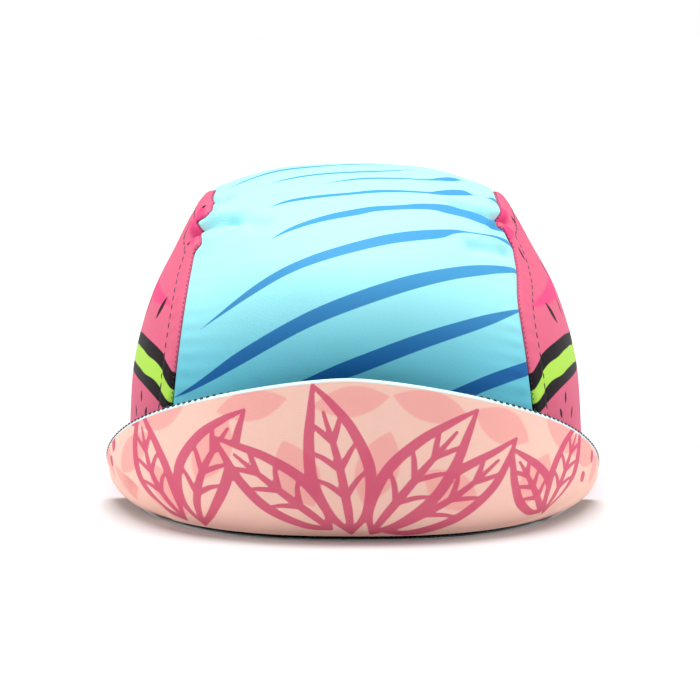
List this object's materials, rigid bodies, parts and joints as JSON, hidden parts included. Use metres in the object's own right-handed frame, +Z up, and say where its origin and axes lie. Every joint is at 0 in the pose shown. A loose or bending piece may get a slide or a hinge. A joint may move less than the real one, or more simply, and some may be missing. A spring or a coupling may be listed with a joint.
{
  "type": "cycling cap",
  "caption": "Soft cycling cap standing on its hem, with a short peak turned up against a panelled crown and a sweatband inside.",
  "frame": {"origin": "middle of the bounding box, on the surface that the cap stands on", "axes": "+Z up, -Y towards the front and its turned-up peak, +X to the right of somebody who faces the front"},
  "size_m": [0.1734, 0.2058, 0.1142],
  "materials": {
    "centre_panel": "printed twill, pale cyan with tapered blue stripes",
    "side_panels": "printed twill, pink fruit flesh with dark seeds and a lime rind band",
    "sweatband": "black knitted band",
    "peak_under_face": "printed twill, pale pink with rose leaf strokes",
    "peak_upper_face": "twill, pale cyan with a stitched edge"
  },
  "bodies": {
    "root": {"centre_panel": "centre_panel", "side_panel_left": "side_panels", "side_panel_right": "side_panels", "sweatband": "sweatband", "peak_under_face": "peak_under_face", "peak_upper_face": "peak_upper_face"}
  },
  "joints": []
}
